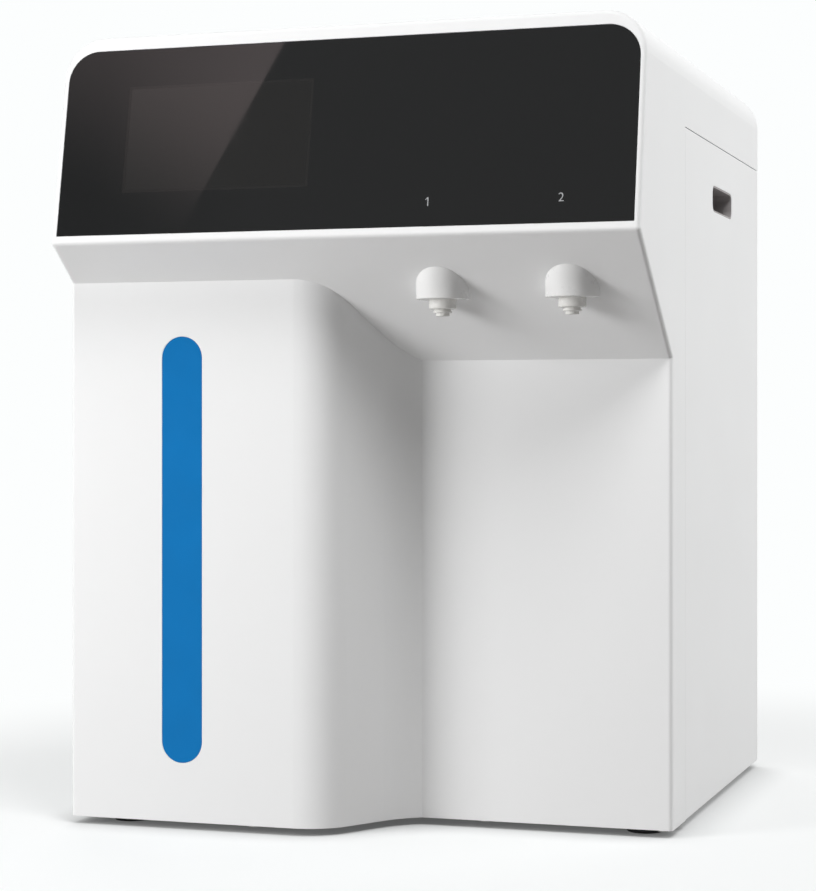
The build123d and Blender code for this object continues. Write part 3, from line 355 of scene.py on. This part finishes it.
def ink(name, color):
    return surface(name, color, 0.5, tint=0.05, patch=0.004, grain=0.0003, worn=1.0)[0]


def printed(name, words, height, origin, right, up, body, finish):
    """A mark in thin ink on a body, with its middle at origin, that reads along right and up."""
    if words == "1":
        data = bpy.data.curves.new(name, "CURVE")
        data.dimensions = "2D"
        data.fill_mode = "BOTH"
        line = data.splines.new("POLY")
        line.points.add(len(figure_one) - 1)
        line.use_cyclic_u = True
        for point, (x, y) in zip(line.points, figure_one):
            point.co = (x * height, y * height, 0, 1)
    else:
        data = bpy.data.curves.new(name, "FONT")
        data.body = words
        data.size = height / capital_share
        data.align_x = "CENTER"
        data.align_y = "CENTER"
        data.offset = -outline_inset
    data.extrude = ink_half
    data.materials.append(finish)
    piece = bpy.data.objects.new(name, data)
    piece.matrix_world = Matrix((right, up, right.cross(up))).transposed().to_4x4()
    piece.location = origin
    scene.collection.objects.link(piece)
    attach(piece, body)


numeral_height, numeral_up = 0.0058, 0.0217
ink_grey = ink("ink_grey", (0.42, 0.43, 0.44))
for words, right in (("1", 0.0618), ("2", 0.1492)):
    printed(f"numeral_{words}", words, numeral_height, on_face(right, numeral_up, ink_lift),
            face_right, face_up, "cabinet", ink_grey)

# The rocker's upper half, with the I, tips out at its top. Its lower half, with the O, is upright.
rocker_mark_height = 0.004
rocker_right = Vector((-1, 0, 0))
upper_half_out = Vector((0, 0.9135, -0.4067))
ink_white = ink("ink_white", (0.8, 0.8, 0.79))
printed("rocker_on", "I", rocker_mark_height,
        Vector((0.14, 0.21244, 0.08738)) + upper_half_out * ink_lift, rocker_right,
        upper_half_out.cross(rocker_right), "power_rocker", ink_white)
printed("rocker_off", "O", rocker_mark_height, Vector((0.14, 0.21072, 0.07917)), rocker_right,
        Vector((0, 0, 1)), "power_rocker", ink_white)


# Studio: a white floor that runs into a white background, faint light all round and soft boxes
def background_rays(tree):
    """1 for rays that see the background: straight from the camera, mirrored or through glass."""
    path = tree.node("ShaderNodeLightPath").outputs
    seen = tree.math("MAXIMUM", path["Is Camera Ray"], path["Is Glossy Ray"])
    return tree.math("MAXIMUM", seen, path["Is Transmission Ray"])


backdrop = (0.975, 0.99, 0.99, 1)
around = {"Color": (1, 0.985, 0.97, 1), "Strength": 0.05}
world = bpy.data.worlds.new("studio")
scene.world = world
tree = Tree(world)
soft = tree.node("ShaderNodeBackground", around).outputs[0]
pale = tree.node("ShaderNodeBackground", {"Color": backdrop, "Strength": 1.0}).outputs[0]
tree.node("ShaderNodeOutputWorld", {"Surface": tree.mix(background_rays(tree), soft, pale)})

floor_half = 8.0
corners = [(x * floor_half, y * floor_half, 0) for x, y in ((-1, -1), (1, -1), (1, 1), (-1, 1))]
floor_mesh = bpy.data.meshes.new("floor")
floor_mesh.from_pydata(corners, [], [(0, 1, 2, 3)])
floor = bpy.data.objects.new("floor", floor_mesh)
scene.collection.objects.link(floor)

# To the object, the floor is matt grey. Background rays see it lighter and glowing. Its glow is
# turned down where what is within close_by covers it, a painted shadow at the object's foot, and it
# turns white between two distances from shadow_middle.
matt_grey = (0.33, 0.32, 0.315, 1)
seen_grey = (0.43, 0.435, 0.435, 1)
close_by = 0.05
covered, uncovered = 0.15, 0.85
glow_in_painted_shadow, glow_uncovered = 0.08, 0.53
shadow_middle = (0.12, 0, 0)
white_from, white_full = 0.33, 0.8

floor_finish = bpy.data.materials.new("floor")
tree = Tree(floor_finish)
matt = tree.node("ShaderNodeBsdfDiffuse", {"Color": matt_grey}).outputs[0]
bright = tree.node("ShaderNodeBsdfDiffuse", {"Color": seen_grey}).outputs[0]
# Painted shadow: the less open the floor is within close_by, the less it glows
openness = tree.node("ShaderNodeAmbientOcclusion", {"Distance": close_by}).outputs["AO"]
strength = tree.span(openness, covered, uncovered, glow_in_painted_shadow, glow_uncovered)
lift = tree.node("ShaderNodeEmission", {"Color": backdrop, "Strength": strength}).outputs[0]
near = tree.node("ShaderNodeAddShader", {0: bright, 1: lift}).outputs[0]
white_out = tree.node("ShaderNodeEmission", {"Color": backdrop, "Strength": 1.0}).outputs[0]
distance = tree.measure("DISTANCE", tree.place(), shadow_middle)
shown = tree.mix(tree.span(distance, white_from, white_full, smooth=True), near, white_out)
floor_surface = tree.mix(background_rays(tree), matt, shown)
tree.node("ShaderNodeOutputMaterial", {"Surface": floor_surface})
floor_mesh.materials.append(floor_finish)


def lamp(name, centre, aim, width, radiance, across=None):
    """A square soft box at centre that faces aim. Its sides run along across, or else level.

    The radiance is what it gives off towards every point, whatever its width.
    """
    data = bpy.data.lights.new(name, "AREA")
    data.shape = "SQUARE"
    data.size = width
    data.energy = radiance * pi * width * width
    made = bpy.data.objects.new(name, data)
    back = (Vector(centre) - Vector(aim)).normalized()
    if across is None:
        across = Vector((0, 0, 1)).cross(back)
    across = (across - back * across.dot(back)).normalized()
    made.matrix_world = Matrix((across, back.cross(across), back)).transposed().to_4x4()
    made.location = centre
    scene.collection.objects.link(made)
    return made


# Where each soft box stands, its width and its radiance. They light the object, and gloss doesn't
# show them.
object_middle = (0, 0, 0.28)
soft_boxes = {
    "key": ((-1.6, -1.6, 0.78), 0.8, 12.8),
    "fill": ((-0.9, -1.2, 0.35), 0.5, 6.7),
    "top": ((1.0, -1.0, 2.2), 1.0, 11.5),
    "side": ((2.0, 0.9, 0.7), 1.2, 4.4),
    "rear": ((-1.1, 2.1, 1.6), 1.4, 3.6),
}
for name, (centre, width, radiance) in soft_boxes.items():
    lamp(name, centre, object_middle, width, radiance).visible_glossy = False


def mirrored(right, up, away):
    """The point, away metres off, that the camera sees mirrored in the glass at right, up."""
    spot = on_face(right, up)
    sight = (spot - camera.location).normalized()
    return spot + (sight - face_out * 2 * sight.dot(face_out)) * away


# One more soft box shows only in the gloss of the control glass. One side of it is mirrored there
# as the slanting edge of the glare, which passes these three points of the glass.
glare_high, glare_middle, glare_low = (-0.0425, 0.132), (-0.068, 0.08), (-0.093, 0.033)
glare_away = 2.2
glare_width = 0.9
glare_radiance = 2.12
glare_colour = (1, 0.8, 0.8, 1)
edge_top = mirrored(*glare_high, glare_away)
edge_foot = mirrored(*glare_low, glare_away)
edge_middle = (edge_top + edge_foot) / 2
toward = (edge_middle - on_face(*glare_middle)).normalized()
glare_across = toward.cross((edge_top - edge_foot).normalized()).normalized()
if glare_across.x > 0:
    glare_across.negate()
glare_centre = edge_middle + glare_across * glare_width / 2
glare = lamp("glare", glare_centre, glare_centre - toward, glare_width, glare_radiance,
             glare_across)
glare.visible_diffuse = False
mirrors = bpy.data.collections.new("mirrors_glare")
mirrors.objects.link(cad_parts["control_glass"])
glare.light_linking.receiver_collection = mirrors

# The glare is a little weaker away from that edge, and fades out along it
tree = Tree(glare.data)
spot = tree.parts(tree.node("ShaderNodeNewGeometry").outputs["Parametric"])
from_edge = tree.span(spot[0], 0.03, 0.22, 1.0, 0.9)
along_edge = tree.span(spot[1], 0.45, 0.77, 1.0, 0.0, smooth=True)
strength = tree.math("MULTIPLY", from_edge, along_edge)
glow = tree.node("ShaderNodeEmission", {"Color": glare_colour, "Strength": strength}).outputs[0]
tree.node("ShaderNodeOutputLight", {"Surface": glow})

scene.view_settings.view_transform = "Standard"
